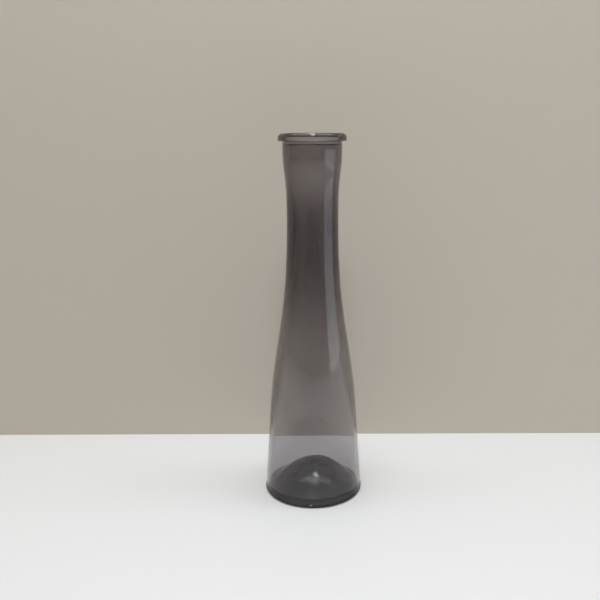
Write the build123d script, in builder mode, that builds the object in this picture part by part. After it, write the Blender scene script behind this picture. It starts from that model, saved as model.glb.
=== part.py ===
"""Tall bottle vase of smoke-grey glass.

The whole wall is drawn once, as a half-section beside the vase's axis (+Z, with the table at
Z = 0). The section is cut at the levels where the parts of the glass mould met, and each cut is
turned about the axis, so that the lip, neck, body, heel and punt touch face to face.
"""
import os
from math import atan, cos, degrees, radians

from build123d import *

# All sizes are in millimetres. A level is a height above the table, and a depth is below the rim.
vase_height = 240.0

# Lip: a flat ring with a rounded rim on a straight collar. The mouth widens below the rim into a
# shallow groove, and steps in twice below it: over a ledge to a seat, and from there to the throat
mouth_radius = 17.3
mouth_length = 2.3
mouth_round = 1.2
mouth_under_round = 0.3
groove_cut = 0.45
undercut_length = 1.65
groove_length = 0.45
groove_top_round = 0.6
groove_foot_round = 0.3
seat_inset = 1.4
ledge_fall = 0.4
seat_length = 2.05
throat_inset = 2.0
step_fall = 0.45
step_round = 0.25
lip_width = 4.45
lip_height = 4.9
lip_top_round = 2.8
lip_under_round = 0.9
collar_radius = 18.85
collar_length = 6.6

# Neck: narrowest at the waist, where the wall is thickest
neck_radius = 17.45
neck_depth = 28.0
neck_wall = 3.5
waist_radius = 16.6
waist_depth = 55.0
waist_wall = 5.15

# Body: a flare that runs out into a straight cone, thinner in the wall towards the heel
flare_radius = 19.5
flare_level = 131.5
flare_wall = 3.7
shoulder_radius = 24.2
shoulder_level = 100.0
shoulder_wall = 2.5
cone_radius = 29.0
cone_level = 60.0
cone_wall = 2.3
base_radius = 32.95
base_wall = 1.9

# Heel: a low bead around the foot, and a flat ring to stand on
bead_height = 2.4
bead_proud = 0.3
bead_top_round = 0.2
heel_round = 1.7
foot_width = 3.4
heel_level = 6.0

# Punt: the base pushed up into a dome that fills the floor, with a rounded trough along the wall.
# A reach is how far a Bezier handle pulls the dome out from its crown or in from its foot
punt_height = 20.5
punt_wall = 6.5
punt_foot_angle = 48.5
crown_reach = 9.4
skirt_reach = 14.2
trough_level = 4.0
trough_round = 1.3
under_crown_reach = 9.5
under_skirt_reach = 11.0
under_foot_angle = 40.0

# Levels and radii that follow from the sizes above
lip_radius = mouth_radius + lip_width
groove_radius = mouth_radius + groove_cut
seat_radius = mouth_radius - seat_inset
throat_radius = mouth_radius - throat_inset
lip_level = vase_height - lip_height
mouth_level = vase_height - mouth_length
groove_level = mouth_level - undercut_length
ledge_level = groove_level - groove_length
seat_level = ledge_level - ledge_fall
step_level = seat_level - seat_length
collar_level = lip_level - collar_length
neck_level = vase_height - neck_depth
waist_level = vase_height - waist_depth
cone_lean = (cone_radius - base_radius) / cone_level
cone_wall_lean = (base_wall - cone_wall) / cone_level
inner_lean = cone_lean + cone_wall_lean
inner_lean_angle = -degrees(atan(inner_lean))
bead_inner_radius = base_radius + cone_lean * bead_height
bead_radius = bead_inner_radius + bead_proud
foot_inner_radius = bead_radius - heel_round - foot_width
trough_centre_level = trough_level + trough_round
trough_centre_radius = (
    base_radius - base_wall + inner_lean * trough_centre_level
    - trough_round / cos(radians(inner_lean_angle))
)
punt_underside = punt_height - punt_wall
beyond_glass = lip_radius + bead_radius

# Half-section of the glass: X is the distance from the axis, Y the height
with BuildSketch() as glass_section:
    with BuildLine() as outline:
        # Outside, from the foot up to the rim
        foot = Line((foot_inner_radius, 0), (bead_radius, 0))
        bead_side = Line(foot @ 1, (bead_radius, bead_height))
        bead_top = Line(bead_side @ 1, (bead_inner_radius, bead_height))
        cone = Line(bead_top @ 1, (cone_radius, cone_level))
        flare = Spline(
            cone @ 1,
            (shoulder_radius, shoulder_level),
            (flare_radius, flare_level),
            (waist_radius, waist_level),
            (neck_radius, neck_level),
            (collar_radius, collar_level),
            tangents=[cone % 1, (0, 1)],
        )
        collar = Line(flare @ 1, (collar_radius, lip_level))
        lip_under = Line(collar @ 1, (lip_radius, lip_level))
        lip_side = Line(lip_under @ 1, (lip_radius, vase_height))
        rim = Line(lip_side @ 1, (mouth_radius, vase_height))

        # Inside, from the rim down to the middle of the floor
        mouth = Line(rim @ 1, (mouth_radius, mouth_level))
        undercut = Line(mouth @ 1, (groove_radius, groove_level))
        groove = Line(undercut @ 1, (groove_radius, ledge_level))
        ledge = Line(groove @ 1, (seat_radius, seat_level))
        seat = Line(ledge @ 1, (seat_radius, step_level))
        step = Line(seat @ 1, (throat_radius, step_level - step_fall))
        throat = Line(step @ 1, (throat_radius, collar_level))
        trough = CenterArc(
            (trough_centre_radius, trough_centre_level),
            trough_round,
            inner_lean_angle,
            -(90 + punt_foot_angle + inner_lean_angle),
        )
        inner_cone = Line((cone_radius - cone_wall, cone_level), trough @ 0)
        Spline(
            throat @ 1,
            (neck_radius - neck_wall, neck_level),
            (waist_radius - waist_wall, waist_level),
            (flare_radius - flare_wall, flare_level),
            (shoulder_radius - shoulder_wall, shoulder_level),
            inner_cone @ 0,
            tangents=[(0, -1), inner_cone % 0],
        )
        Bezier(
            trough @ 1,
            trough @ 1 + Vector(skirt_reach, 0).rotate(Axis.Z, 180 - punt_foot_angle),
            (crown_reach, punt_height),
            (0, punt_height),
        )

        # Under the push-up, back to the foot
        axis_edge = Line((0, punt_height), (0, punt_underside))
        Bezier(
            axis_edge @ 1,
            (under_crown_reach, punt_underside),
            foot @ 0 + Vector(under_skirt_reach, 0).rotate(Axis.Z, 180 - under_foot_angle),
            foot @ 0,
        )
    make_face()

    # The glass was soft when it left the mould, so its corners are rounded
    for corner, corner_round in (
        (foot @ 1, heel_round),
        (bead_side @ 1, bead_top_round),
        (lip_under @ 1, lip_under_round),
        (lip_side @ 1, lip_top_round),
        (rim @ 1, mouth_round),
        (mouth @ 1, mouth_under_round),
        (undercut @ 1, groove_top_round),
        (groove @ 1, groove_foot_round),
        (ledge @ 1, step_round),
        (seat @ 1, step_round),
        (step @ 1, step_round),
    ):
        fillet(glass_section.vertices().sort_by_distance(corner)[0], corner_round)


def section_between(low_level, high_level):
    """Faces of the glass section between two levels, in order from the axis outwards."""
    with BuildSketch(Plane.XZ) as zone:
        add(glass_section.sketch_local)
        with Locations((0, low_level)):
            Rectangle(
                beyond_glass,
                high_level - low_level,
                align=(Align.MIN, Align.MIN),
                mode=Mode.INTERSECT,
            )
    return zone.sketch.faces().sort_by(Axis.X)


# Above the heel the section falls into two faces: the crown of the push-up, and the wall around it
crown_face, wall_face = section_between(heel_level, flare_level)

# Lip ring: the rim, the stepped mouth and the straight collar around the throat
with BuildPart() as lip_ring:
    revolve(section_between(collar_level, vase_height), axis=Axis.Z)
lip_ring.part.label = "lip_ring"

# Neck: from the collar to the level where the glass starts to flare
with BuildPart() as neck:
    revolve(section_between(flare_level, collar_level), axis=Axis.Z)
neck.part.label = "neck"

# Body: the flare and the cone
with BuildPart() as body:
    revolve(wall_face, axis=Axis.Z)
body.part.label = "body"

# Heel ring: everything low down, with the foot, the bead and the trough
with BuildPart() as heel_ring:
    revolve(section_between(0, heel_level), axis=Axis.Z)
heel_ring.part.label = "heel_ring"

# Punt: the crown of the push-up, standing on the heel ring's inner slope
with BuildPart() as punt:
    revolve(crown_face, axis=Axis.Z)
punt.part.label = "punt"

os.makedirs("parts", exist_ok=True)
for piece in (lip_ring, neck, body, heel_ring, punt):
    export_step(piece.part, f"parts/{piece.part.label}.step")
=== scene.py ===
# %% [markdown]
# # A smoke-grey bottle vase
#
# The real vase is one piece of glass, blown into a mould: a collar lip, a neck with a waist, a
# flared body, and a base that is pushed up from below into a punt. The CAD frame holds that shape
# as five solids. This lesson gives it one unbroken skin of glass, the glass itself, a table, a wall
# and soft light.

# %% Load the frame
import math

import bpy
import numpy as np
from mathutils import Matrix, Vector


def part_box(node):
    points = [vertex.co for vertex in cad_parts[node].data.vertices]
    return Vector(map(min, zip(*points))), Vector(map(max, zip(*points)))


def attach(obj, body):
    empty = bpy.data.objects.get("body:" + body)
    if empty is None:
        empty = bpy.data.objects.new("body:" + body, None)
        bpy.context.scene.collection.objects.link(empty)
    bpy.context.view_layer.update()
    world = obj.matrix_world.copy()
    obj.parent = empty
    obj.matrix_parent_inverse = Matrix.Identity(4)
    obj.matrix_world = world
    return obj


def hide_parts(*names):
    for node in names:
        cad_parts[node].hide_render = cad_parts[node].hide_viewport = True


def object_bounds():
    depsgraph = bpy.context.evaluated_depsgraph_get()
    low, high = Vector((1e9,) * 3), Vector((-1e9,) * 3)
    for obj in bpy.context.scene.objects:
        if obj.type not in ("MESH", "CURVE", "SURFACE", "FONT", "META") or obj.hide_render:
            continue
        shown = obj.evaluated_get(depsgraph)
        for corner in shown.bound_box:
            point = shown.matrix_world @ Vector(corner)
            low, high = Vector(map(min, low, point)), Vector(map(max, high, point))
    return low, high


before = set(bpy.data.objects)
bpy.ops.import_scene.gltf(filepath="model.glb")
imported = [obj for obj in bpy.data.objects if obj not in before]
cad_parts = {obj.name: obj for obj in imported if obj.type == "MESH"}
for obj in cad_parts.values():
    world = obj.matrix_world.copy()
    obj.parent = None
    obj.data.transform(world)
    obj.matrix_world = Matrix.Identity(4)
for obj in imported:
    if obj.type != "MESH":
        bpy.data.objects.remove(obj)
cad_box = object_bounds()
MM = 0.001
print("CAD nodes:", sorted(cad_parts))
print("CAD box in mm:", [tuple(round(c / MM, 2) for c in corner) for corner in cad_box])

# %% [markdown]
# ## Measuring the frame
#
# Blender must not resize the vase, so its levels and radii are read off the CAD nodes. A ray that
# is cast at a node works like a caliper: a level ray finds a side of the wall, an upright ray finds
# a floor or an underside. The sizes could be typed in again, but then they would go stale as soon
# as the CAD changes.

# %% Rays as calipers
beyond_glass = cad_box[1].x + 10 * MM


def ray_hit(node, start, direction):
    """The point where a ray first meets a CAD node."""
    found, point, _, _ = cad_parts[node].ray_cast(Vector(start), Vector(direction))
    if not found:
        raise ValueError(f"the ray from {start} misses {node}")
    return point


def outside_radius(node, level):
    """Radius of a node's outside at a level."""
    return ray_hit(node, (beyond_glass, 0, level), (-1, 0, 0)).x


def inside_radius(node, level):
    """Radius of the first wall of a node that a level ray from the axis meets."""
    return ray_hit(node, (0, 0, level), (1, 0, 0)).x


def level_above(node, radius):
    """Level of a node's top at a radius."""
    return ray_hit(node, (radius, 0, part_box(node)[1].z + MM), (0, 0, -1)).z


def level_below(node, radius):
    """Level of a node's underside at a radius."""
    return ray_hit(node, (radius, 0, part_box(node)[0].z - MM), (0, 0, 1)).z


# %% Levels and radii of the lip
def level_at(radius, first, second):
    """Level where the straight line through two points of a section has a radius."""
    return first[1] + (radius - first[0]) * (second[1] - first[1]) / (second[0] - first[0])


seat_depth = 5.9 * MM
mouth_depth = 1.9 * MM
rim_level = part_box("lip_ring")[1].z
collar_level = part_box("lip_ring")[0].z
lip_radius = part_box("lip_ring")[1].x
lip_level = level_below("lip_ring", lip_radius - MM)
collar_radius = outside_radius("lip_ring", collar_level + MM)
throat_radius = inside_radius("lip_ring", collar_level + MM)
seat_radius = inside_radius("lip_ring", rim_level - seat_depth)
mouth_radius = inside_radius("lip_ring", rim_level - mouth_depth)
print(f"rim at {rim_level / MM:.1f} mm, lip from {lip_level / MM:.1f} mm")
print(f"collar from {collar_level / MM:.1f} mm")
print(f"lip and collar radius {lip_radius / MM:.2f} and {collar_radius / MM:.2f} mm")

# %% The steps inside the mouth
def steep_line(*depths):
    """Two points of a steep face inside the mouth, at two depths below the rim."""
    return [(inside_radius("lip_ring", rim_level - depth), rim_level - depth) for depth in depths]


def tread_line(*radii):
    """Two points of a tread inside the mouth, at two radii."""
    return [(radius, level_above("lip_ring", radius)) for radius in radii]


undercut = steep_line(2.6 * MM, 3.6 * MM)
ledge = tread_line(seat_radius + 0.4 * MM, seat_radius + 1.2 * MM)
step = tread_line(throat_radius + 0.2 * MM, throat_radius + 0.4 * MM)
groove_depths = np.arange(3.8, 4.4, 0.05) * MM
groove_radius = max(inside_radius("lip_ring", rim_level - depth) for depth in groove_depths)
mouth_corners = {
    "throat": (throat_radius, level_at(throat_radius, *step)),
    "step": (seat_radius, level_at(seat_radius, *step)),
    "seat": (seat_radius, level_at(seat_radius, *ledge)),
    "ledge": (groove_radius, level_at(groove_radius, *ledge)),
    "groove": (groove_radius, level_at(groove_radius, *undercut)),
    "mouth": (mouth_radius, level_at(mouth_radius, *undercut)),
}
for name, (radius, level) in mouth_corners.items():
    print(f"{name} corner at radius {radius / MM:.2f} mm, level {level / MM:.2f} mm")

# %% Levels and radii of the heel
heel_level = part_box("heel_ring")[1].z
bead_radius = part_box("heel_ring")[1].x
foot_radius = inside_radius("heel_ring", 0.01 * MM)
wall_foot = [(outside_radius("heel_ring", level), level) for level in (3 * MM, 5 * MM)]
bead_levels = np.arange(0.5, 3, 0.02) * MM
bead_level = max(level for level in bead_levels
                 if level_at(outside_radius("heel_ring", level), *wall_foot) < level - 0.3 * MM)
trough_level, trough_radius = min(
    (level_above("heel_ring", radius), radius) for radius in np.arange(27, 30, 0.05) * MM)
punt_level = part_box("punt")[1].z
print(f"bead radius {bead_radius / MM:.2f} mm up to {bead_level / MM:.2f} mm")
print(f"foot from {foot_radius / MM:.2f} mm, punt up to {punt_level / MM:.2f} mm")
print(f"trough at radius {trough_radius / MM:.2f} mm, level {trough_level / MM:.2f} mm")

# %% [markdown]
# ## Drawing the outline
#
# A turned shape needs only half of its section, drawn beside the axis as pairs of radius and level.
# Long sweeps run smoothly through measured stations, and corners get a small arc, because glass
# leaves the mould soft. A Bezier curve with a Screw modifier would turn it too. Plain arrays are
# used here, since each point has to be pushed about a little later on.

# %% A smooth line through stations
def smooth_line(stations, values, places, first_slope=None, last_slope=None):
    """A cubic spline through values at stations, read at other places. Its end slopes may be given."""
    gaps = np.diff(stations)
    rises = np.diff(values) / gaps
    count = len(stations)
    matrix = np.zeros((count, count))
    right = np.zeros(count)
    for i in range(1, count - 1):
        matrix[i, i - 1:i + 2] = gaps[i], 2 * (gaps[i - 1] + gaps[i]), gaps[i - 1]
        right[i] = 3 * (gaps[i] * rises[i - 1] + gaps[i - 1] * rises[i])
    matrix[0, 0] = matrix[-1, -1] = 1
    right[0] = rises[0] if first_slope is None else first_slope
    right[-1] = rises[-1] if last_slope is None else last_slope
    slopes = np.linalg.solve(matrix, right)

    spans = np.clip(np.searchsorted(stations, places) - 1, 0, count - 2)
    gap = gaps[spans]
    along = (places - stations[spans]) / gap
    back = 1 - along
    return (
        (1 + 2 * along) * back**2 * values[spans]
        + (1 + 2 * back) * along**2 * values[spans + 1]
        + along * back * gap * (back * slopes[spans] - along * slopes[spans + 1])
    )


# %% Straight runs and rounded corners
def straight_run(start, end, steps=7):
    """Points on a straight run, closer together near its ends so that it shades flat."""
    share = (1 - np.cos(np.linspace(0, math.pi, steps))) / 2
    return np.outer(1 - share, start) + np.outer(share, end)


def unit(vector):
    return vector / np.linalg.norm(vector)


def corner_arc(before, corner, after, radius, steps=9):
    """Points of the arc that rounds the corner on the way from one point to another."""
    corner = np.array(corner)
    back = unit(before - corner)
    ahead = unit(after - corner)
    half_opening = math.acos(back @ ahead) / 2
    centre = corner + unit(back + ahead) * radius / math.sin(half_opening)
    first = corner + back * radius / math.tan(half_opening) - centre
    last = corner + ahead * radius / math.tan(half_opening) - centre
    turn = math.pi - 2 * half_opening
    share = np.linspace(0, 1, steps)
    arms = np.outer(np.sin((1 - share) * turn), first) + np.outer(np.sin(share * turn), last)
    return centre + arms / math.sin(turn)


def rounded_run(points, radii):
    """A run through points whose inner corners are rounded, each by its own radius."""
    arcs = [corner_arc(*points[i:i + 3], radius) for i, radius in enumerate(radii)]
    ends = [points[0], *[end for arc in arcs for end in (arc[0], arc[-1])], points[-1]]
    pieces = []
    for i, arc in enumerate([*arcs, None]):
        pieces.append(straight_run(ends[2 * i], ends[2 * i + 1])[:-1])
        if arc is not None:
            pieces.append(arc[:-1])
    return np.vstack([*pieces, [points[-1]]])


# %% [markdown]
# ## The wall's two long sweeps
#
# The outside follows the mould from the bead up to the collar. The inside was never touched by
# iron: it was blown, and it follows the outside at a wall that is thick in the neck and thin above
# the heel. Each is measured at thirty levels, and a smooth line fills in the rest.

# %% Stations up the wall
def wall_node(level):
    """The CAD node that holds the wall at a level."""
    if level < heel_level:
        return "heel_ring"
    return "body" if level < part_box("body")[1].z else "neck"


outside_stations = np.linspace(bead_level + 0.6 * MM, collar_level - 0.1 * MM, 30)
inside_stations = np.linspace(heel_level + 0.1 * MM, collar_level - 0.1 * MM, 30)
outside_radii = np.array([outside_radius(wall_node(level), level) for level in outside_stations])
inside_radii = np.array([inside_radius(wall_node(level), level) for level in inside_stations])
outside_levels = np.linspace(outside_stations[0], outside_stations[-1], 90)
inside_levels = np.linspace(inside_stations[0], inside_stations[-1], 90)
outside_sweep = np.column_stack([
    smooth_line(outside_stations, outside_radii, outside_levels, last_slope=0), outside_levels])
inside_sweep = np.column_stack([
    smooth_line(inside_stations, inside_radii, inside_levels, last_slope=0), inside_levels])
walls = np.interp(inside_levels, outside_levels, outside_sweep[:, 0]) - inside_sweep[:, 0]
print(f"wall between {walls.min() / MM:.2f} and {walls.max() / MM:.2f} mm thick")

# %% [markdown]
# ## The punt's two faces
#
# The base is pushed up into a dome, so its top and its underside are curves over the radius. They
# start flat on the axis. The top runs down at 48.5 degrees into the round trough beside the wall,
# and the underside meets the foot at 40 degrees.

# %% Stations across the base
trough_round = 1.3 * MM
punt_foot_slope = math.radians(48.5)
under_foot_slope = math.radians(40)
foot_bevel = 2 * MM
trough_centre = np.array((trough_radius, trough_level + trough_round))
dome_radius = trough_radius - trough_round * math.sin(punt_foot_slope)
hollow_radius = foot_radius - foot_bevel
top_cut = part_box("punt")[1].x
under_cut = inside_radius("heel_ring", heel_level - 0.01 * MM)


def base_stations(outer_radius, cut_radius, level_of):
    """Radii from the axis outwards, and the base's level at each: the punt's, then the heel's."""
    radii = np.linspace(0.2 * MM, outer_radius, 25)
    nodes = ["punt" if radius < cut_radius else "heel_ring" for radius in radii]
    return radii, np.array([level_of(node, radius) for node, radius in zip(nodes, radii)])


top_stations, top_levels = base_stations(dome_radius, top_cut, level_above)
under_stations, under_levels = base_stations(hollow_radius, under_cut, level_below)
print(f"punt {(top_levels[0] - under_levels[0]) / MM:.2f} mm thick at its crown")

# %% [markdown]
# ## One outline from pole to pole
#
# The pieces are strung together: down the bell, through the trough, up the inside, over the lip,
# down the outside, around the bead and heel, and back to the axis under the bell. The corner radii
# are those of the CAD model. Its sharp inner corners, under the lip, above the bead and inside the
# foot, get the small fillet that glass has there.

# %% String the outline together
heel_round = 1.7 * MM
bead_round = 0.2 * MM
bead_crease_round = 0.04 * MM
crease_round = 0.25 * MM
lip_under_round = 0.9 * MM
lip_top_round = 2.8 * MM
mouth_round = 1.2 * MM
mouth_under_round = 0.3 * MM
groove_top_round = 0.6 * MM
groove_foot_round = 0.3 * MM
step_round = 0.25 * MM
foot_round = 1.0 * MM

top_radii = np.linspace(0, dome_radius, 40)[1:]
under_radii = np.linspace(0, hollow_radius, 36)[1:]
bell_top = np.column_stack([
    top_radii, smooth_line(top_stations, top_levels, top_radii, 0, -math.tan(punt_foot_slope))])
bell_under = np.column_stack([
    under_radii, smooth_line(under_stations, under_levels, under_radii, 0, -math.tan(under_foot_slope))])

wall_lean = (inside_sweep[1, 0] - inside_sweep[0, 0]) / (inside_levels[1] - inside_levels[0])
trough_turn = np.linspace(1.5 * math.pi - punt_foot_slope, 2 * math.pi - math.atan(wall_lean), 20)
trough = trough_centre + trough_round * np.column_stack([np.cos(trough_turn), np.sin(trough_turn)])
lip = rounded_run(
    [
        inside_sweep[-1],
        *mouth_corners.values(),
        (mouth_radius, rim_level),
        (lip_radius, rim_level),
        (lip_radius, lip_level),
        (collar_radius, lip_level),
        outside_sweep[-1],
    ],
    [step_round, step_round, step_round, groove_foot_round, groove_top_round, mouth_under_round,
     mouth_round, lip_top_round, lip_under_round, crease_round],
)
heel = rounded_run(
    [
        outside_sweep[0],
        (outside_sweep[0, 0], bead_level),
        (bead_radius, bead_level),
        (bead_radius, 0),
        (foot_radius, 0),
        bell_under[-1],
    ],
    [bead_crease_round, bead_round, heel_round, foot_round],
)
runs = {
    "bell": bell_top[:-1],
    "trough": trough,
    "inside": inside_sweep[:-1],
    "lip": lip[:-1],
    "outside": outside_sweep[::-1][:-1],
    "heel": heel[:-1],
    "underside": bell_under[::-1],
}
outline = np.vstack(list(runs.values()))
run_names = np.repeat(list(runs), [len(run) for run in runs.values()])
print("outline points:", {name: len(run) for name, run in runs.items()})

# %% [markdown]
# ## What the blowing left behind
#
# A perfect turned shape looks like plastic. Blown glass is a little uneven inside, the push-up is
# seldom quite central or level and keeps soft dents, and the two halves of the mould leave a
# hair-thin ridge down the front and the back. These are pushed into the mesh as real shape, so that
# light bends in them.

# %% Unevenness of the glass
vase_height = rim_level
ripple_depth = 0.22 * MM
dent_depth = 0.3 * MM
dent_waves = (
    (12.0 * MM, math.radians(15), 0.4),
    (13.5 * MM, math.radians(75), 2.2),
    (10.5 * MM, math.radians(135), 4.0),
)
crown_lean = Vector((2.2, 0.5)) * MM
floor_tilt = math.radians(-2.2)
floor_reach = 25 * MM
seam_angles = np.radians([-97.0, 83.0])
seam_height = 0.05 * MM
seam_width = math.radians(0.7)


def blown_ripple(angles, level):
    """Slow waves around the inside that wander as they climb, between -1 and 1."""
    climb = 2 * math.pi * level / vase_height
    return (
        0.5 * np.cos(angles - 0.7 * climb + 0.9)
        + 0.3 * np.cos(2 * angles + 1.1 * climb)
        + 0.2 * np.cos(5 * angles - 1.6 * climb + 2.0)
    )


def push_up_dents(across, along):
    """Soft dents in the top of the push-up, between -1 and 1: a sum of waves across the floor."""
    dents = 0
    for length, heading, start in dent_waves:
        travelled = across * math.cos(heading) + along * math.sin(heading)
        dents = dents + np.cos(2 * math.pi * travelled / length + start)
    return dents / len(dent_waves)


def seam_ridge(angles):
    """The mould's two seams, as a bump of height 1 at each."""
    ridge = 0
    for seam in seam_angles:
        away = np.remainder(angles - seam + math.pi, 2 * math.pi) - math.pi
        ridge = ridge + np.exp(-(away / seam_width) ** 2)
    return ridge


def fade(level, low, high, reach):
    """0 at a low and a high place and 1 between them, with soft ends."""
    share = np.clip(np.minimum(level - low, high - level) / reach, 0, 1)
    return share * share * (3 - 2 * share)


ripple = ripple_depth * blown_ripple(np.linspace(0, 2 * math.pi, 90), vase_height / 2)
print(f"ripples at half height from {ripple.min() / MM:.2f} to {ripple.max() / MM:.2f} mm")

# %% [markdown]
# ## The skin
#
# Glass bends light where a ray enters and where it leaves, so the skin has to be one closed mesh:
# five solids that only touch would show a mirror at each cut. It is a grid of rings, with
# extra columns where the seams are, and a fan of triangles at each pole.

# %% Turn the outline into rings
def seam_distance(angle):
    """Angle from a column to the seam next to it."""
    return min(abs(math.remainder(angle - seam, 2 * math.pi)) for seam in seam_angles)


seam_clearance = math.radians(2)
seam_offsets = np.radians([-1.5, -0.9, -0.5, 0, 0.5, 0.9, 1.5])
seam_columns = [seam + offset for seam in seam_angles for offset in seam_offsets]
even_columns = np.radians(np.arange(0, 360, 2) - 180)
clear_of_seams = [angle for angle in even_columns if seam_distance(angle) > seam_clearance]
columns = np.sort(np.remainder(np.array([*clear_of_seams, *seam_columns]), 2 * math.pi))

rings = []
for (radius, level), run in zip(outline, run_names):
    push = np.zeros(len(columns))
    rise = np.zeros(len(columns))
    lean = 0
    if run in ("bell", "trough", "inside"):
        rise = math.tan(floor_tilt) * radius * np.sin(columns) * max(0, 1 - level / floor_reach)
    if run == "inside":
        calm = fade(level, trough_level, collar_level, 25 * MM)
        push = ripple_depth * calm * blown_ripple(columns, level)
    elif run == "outside":
        push = seam_height * fade(level, bead_level, lip_level, 6 * MM) * seam_ridge(columns)
    elif run in ("bell", "underside"):
        lean = max(level, 0) / punt_level
    if run == "bell":
        dents = push_up_dents(radius * np.cos(columns), radius * np.sin(columns))
        rise = rise + dent_depth * fade(radius, 0, dome_radius, 5 * MM) * (dents - 1)
    centre = crown_lean * lean**2
    rings.append(np.column_stack([
        centre.x + (radius + push) * np.cos(columns),
        centre.y + (radius + push) * np.sin(columns),
        level + rise,
    ]))
print(f"{len(rings)} rings of {len(columns)} columns")

# %% Make the mesh
width = len(columns)
last_ring = (len(rings) - 1) * width
crown_top = (*crown_lean, punt_level)
crown_under = (*(crown_lean * (under_levels[0] / punt_level) ** 2), under_levels[0])
points = [*np.vstack(rings).tolist(), crown_top, crown_under]
faces = []
for ring in range(len(rings) - 1):
    for column in range(width):
        beside = (column + 1) % width
        start = ring * width
        faces.append((start + column, start + width + column, start + width + beside, start + beside))
for column in range(width):
    beside = (column + 1) % width
    faces.append((len(points) - 2, column, beside))
    faces.append((len(points) - 1, last_ring + beside, last_ring + column))

skin = bpy.data.meshes.new("vase_glass")
skin.from_pydata(points, [], faces)
skin.validate()
skin.shade_smooth()
vase_glass = bpy.data.objects.new("vase_glass", skin)
bpy.context.scene.collection.objects.link(vase_glass)
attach(vase_glass, "root")
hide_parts("lip_ring", "neck", "body", "heel_ring", "punt")
print(f"vase_glass: {len(skin.vertices)} points, {len(skin.polygons)} faces")

# %% [markdown]
# ## Writing shaders as sums
#
# Node trees are easier to read as expressions. The class below wraps one socket, so that
# `0.04 + 0.1 * smudge` adds the two Math nodes that it says, and any other node comes from `node`.

# %% A socket that can be used in sums
class Field:
    """A value that runs over a surface: one output socket of a node tree."""

    def __init__(self, tree, socket=None):
        self.tree = tree
        self.socket = socket

    def node(self, kind, settings=None, inputs=None, output=0):
        """Adds a node, sets it up, feeds its sockets, and gives back one of its outputs."""
        made = self.tree.nodes.new(kind)
        for name, value in (settings or {}).items():
            setattr(made, name, value)
        for name, value in (inputs or {}).items():
            if isinstance(value, Field):
                self.tree.links.new(value.socket, made.inputs[name])
            else:
                made.inputs[name].default_value = value
        return Field(self.tree, made.outputs[output] if made.outputs else None)

    def math(self, operation, first, second):
        return self.node("ShaderNodeMath", {"operation": operation}, {0: first, 1: second})

    def __add__(self, other):
        return self.math("ADD", self, other)

    def __radd__(self, other):
        return self.math("ADD", other, self)

    def __sub__(self, other):
        return self.math("SUBTRACT", self, other)

    def __rsub__(self, other):
        return self.math("SUBTRACT", other, self)

    def __mul__(self, other):
        return self.math("MULTIPLY", self, other)

    def __rmul__(self, other):
        return self.math("MULTIPLY", other, self)

    def clamped(self):
        """The same value, kept between 0 and 1."""
        return self.node("ShaderNodeClamp", {}, {"Value": self})


def new_material(name):
    """An empty material, and a field to build its tree from."""
    material = bpy.data.materials.new(name)
    material.use_nodes = True
    material.node_tree.nodes.clear()
    return material, Field(material.node_tree)


# %% [markdown]
# ## Smoke-grey glass
#
# The colour sits in the glass, not on it: thick parts such as the neck's waist are dark, and the
# thin wall above the heel is pale. A tinted surface can't do that, so the surface is clear and a
# Volume Absorption takes light away for every millimetre that a ray travels inside.
# Fine draws that run up the wall, and a few greasy smudges, keep the reflections from being perfect.
# The top of the punt is satin, because dust and dried water settle there.

# %% The glass
absorbed_per_metre = (180.0, 192.0, 184.0)
absorption_density = 1000.0
glass_ior = 1.52

smoke_glass, shade = new_material("smoke_glass")
place = shade.node("ShaderNodeTexCoord", output="Object")
drawn_place = shade.node("ShaderNodeMapping", {}, {"Vector": place, "Scale": (1, 1, 0.03)})
draws = shade.node("ShaderNodeTexNoise", {}, {"Vector": drawn_place, "Scale": 520, "Detail": 2}, "Fac")
peel = shade.node("ShaderNodeTexNoise", {}, {"Vector": place, "Scale": 160, "Detail": 1}, "Fac")
smudge_noise = shade.node("ShaderNodeTexNoise", {}, {"Vector": place, "Scale": 38, "Detail": 5}, "Fac")
smudges = ((smudge_noise - 0.54) * 6).clamped()

from_axis = shade.node(
    "ShaderNodeVectorMath", {"operation": "LENGTH"},
    {0: shade.node("ShaderNodeMapping", {}, {"Vector": place, "Scale": (1, 1, 0)})}, "Value")
height = shade.node("ShaderNodeSeparateXYZ", {}, {"Vector": place}, "Z")
punt_edge = 28.7 * MM
punt_top = 23 * MM
edge_softness = 1.25 * MM
top_softness = 2.5 * MM
within_edge = ((punt_edge - from_axis) * (1 / edge_softness)).clamped()
below_top = ((punt_top - height) * (1 / top_softness)).clamped()
on_punt = within_edge * below_top

relief_height = 0.012 * MM
relief = shade.node("ShaderNodeBump", {}, {
    "Strength": 1.0,
    "Distance": relief_height,
    "Height": draws * 0.6 + peel * 0.4,
})
clear_glass = shade.node("ShaderNodeBsdfPrincipled", {}, {
    "Base Color": (1, 1, 1, 1),
    "Roughness": 0.005 + 0.03 * smudges + on_punt * (0.05 + 0.14 * peel),
    "IOR": glass_ior,
    "Transmission Weight": 1.0,
    "Normal": relief,
})
smoke = shade.node("ShaderNodeVolumeAbsorption", {}, {
    "Color": (*[1 - taken / absorption_density for taken in absorbed_per_metre], 1),
    "Density": absorption_density,
})
shade.node("ShaderNodeOutputMaterial", {}, {"Surface": clear_glass, "Volume": smoke})
skin.materials.append(smoke_glass)
for thickness in (2.5, 4.5):
    passed = [math.exp(-taken * thickness * MM) for taken in absorbed_per_metre]
    print(f"{thickness} mm of the glass lets through", [round(share, 2) for share in passed])

# %% [markdown]
# ## A table and a wall
#
# Glass shows what is around it, so it needs something plain to show. The vase stands on a
# white table in front of a warm grey wall. The wall is open from behind, so that a camera there
# looks past it at the vase.

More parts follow.
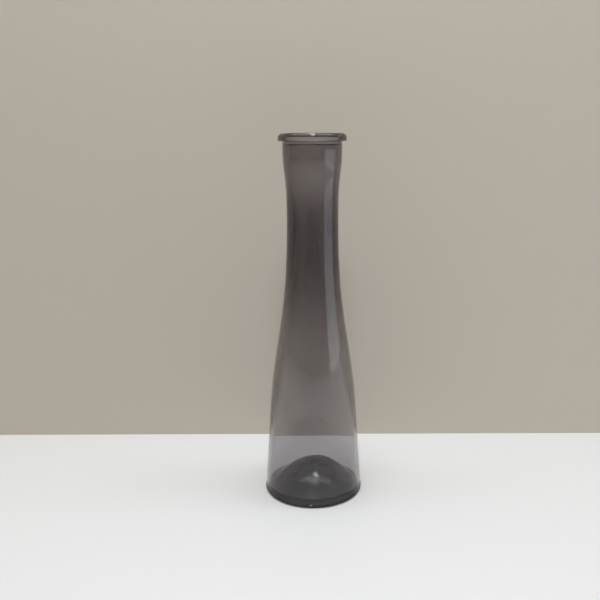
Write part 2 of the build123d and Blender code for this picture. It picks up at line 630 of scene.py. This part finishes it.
# %% Table and wall
def flat_sheet(name, corners):
    """A single flat face."""
    mesh = bpy.data.meshes.new(name)
    mesh.from_pydata(corners, [], [(0, 1, 2, 3)])
    sheet = bpy.data.objects.new(name, mesh)
    bpy.context.scene.collection.objects.link(sheet)
    return sheet


stage_reach = 1.6
wall_distance = 0.086
wall_height = 1.1
under_foot = -0.05 * MM
table = flat_sheet("table", [
    (-stage_reach, -stage_reach, under_foot),
    (stage_reach, -stage_reach, under_foot),
    (stage_reach, stage_reach, under_foot),
    (-stage_reach, stage_reach, under_foot),
])
wall = flat_sheet("wall", [
    (-stage_reach, wall_distance, under_foot),
    (stage_reach, wall_distance, under_foot),
    (stage_reach, wall_distance, wall_height),
    (-stage_reach, wall_distance, wall_height),
])
print(f"wall {wall_distance / MM:.0f} mm behind the vase's axis")

# %% Their paint
table_colour = (0.74, 0.74, 0.735, 1)
wall_colour = (0.68, 0.615, 0.53, 1)

table_paint, shade = new_material("table_paint")
painted = shade.node("ShaderNodeBsdfPrincipled", {}, {"Base Color": table_colour, "Roughness": 0.55})
shade.node("ShaderNodeOutputMaterial", {}, {"Surface": painted})
table.data.materials.append(table_paint)

wall_paint, shade = new_material("wall_paint")
painted = shade.node("ShaderNodeBsdfPrincipled", {}, {"Base Color": wall_colour, "Roughness": 0.8})
open_back = shade.node("ShaderNodeBsdfTransparent")
behind = shade.node("ShaderNodeNewGeometry", output="Backfacing")
one_sided = shade.node("ShaderNodeMixShader", {}, {0: behind, 1: painted, 2: open_back})
shade.node("ShaderNodeOutputMaterial", {}, {"Surface": one_sided})
wall.data.materials.append(wall_paint)
print("table reflects", table_colour[:3], "and the wall", wall_colour[:3])

# %% [markdown]
# ## Soft light
#
# A vase like this looks best under a roof of glass. A skylight overhead sparkles in the middle of
# the rim, a long and weaker strip of ceiling beside it lays the pale patch on the punt, and a small
# rooflight in front lights the foot. The window is a cooler softbox on the right that draws a streak
# down the neck. A plain grey world fills in the rest.

# %% World and softboxes
def softbox(name, centre, aim, width, height, radiance, colour):
    """A rectangular lamp of even brightness, where a radiance of 1 looks white."""
    lamp = bpy.data.lights.new(name, "AREA")
    lamp.shape = "RECTANGLE"
    lamp.size = width
    lamp.size_y = height
    lamp.energy = 4 * radiance * width * height
    lamp.color = colour
    holder = bpy.data.objects.new(name, lamp)
    holder.location = centre
    holder.rotation_euler = (Vector(aim) - Vector(centre)).to_track_quat("-Z", "Y").to_euler()
    holder.visible_camera = False
    bpy.context.scene.collection.objects.link(holder)
    print(f"{name}: {lamp.energy:.1f} W over {width} x {height} m")


world = bpy.data.worlds.new("studio")
world.use_nodes = True
world.node_tree.nodes.clear()
shade = Field(world.node_tree)
room = shade.node("ShaderNodeBackground", {}, {"Color": (0.09, 0.09, 0.09, 1), "Strength": 1.0})
shade.node("ShaderNodeOutputWorld", {}, {"Surface": room})
bpy.context.scene.world = world

vase_middle = (0, 0, vase_height / 2)
softbox("skylight", (-0.03, -0.1, 1.4), (0, -0.05, 0), 0.34, 0.46, 11.0, (0.98, 0.99, 1.0))
softbox("ceiling", (0.12, -0.02, 1.25), (0.12, -0.02, 0), 1.7, 0.3, 3.8, (0.88, 0.93, 1.0))
softbox("rooflight", (0.0, -0.68, 1.2), vase_middle, 0.25, 0.25, 19.0, (1.0, 0.99, 0.97))
softbox("window", (0.87, -0.25, 0.12), (0, 0, 0.12), 0.75, 0.2, 1.0, (0.86, 0.94, 1.0))

# %% [markdown]
# ## The camera
#
# The photo was taken from about the height of the rim, looking down by about 13 degrees. The vase
# stands a little right of the middle, which is a lens shift and not a turn of the camera.

# %% Camera and colour
camera_place = (0, -0.4437, 0.2349)
camera_dip = math.radians(12.94)
camera_roll = math.radians(0.2)
picture_width_px = 600
axis_right_of_middle_px = 12.25

camera_lens = bpy.data.cameras.new("camera")
camera_lens.sensor_width = 36
camera_lens.lens = 41.4
camera_lens.shift_x = -axis_right_of_middle_px / picture_width_px
camera = bpy.data.objects.new("camera", camera_lens)
camera.location = camera_place
camera.rotation_euler = (math.pi / 2 - camera_dip, camera_roll, 0)
bpy.context.scene.collection.objects.link(camera)
bpy.context.scene.camera = camera
bpy.context.scene.view_settings.view_transform = "Standard"
bpy.context.scene.cycles.max_bounces = 24
bpy.context.scene.cycles.transmission_bounces = 24
bpy.context.scene.cycles.glossy_bounces = 12
print(f"camera sees {math.degrees(camera_lens.angle):.1f} degrees across")
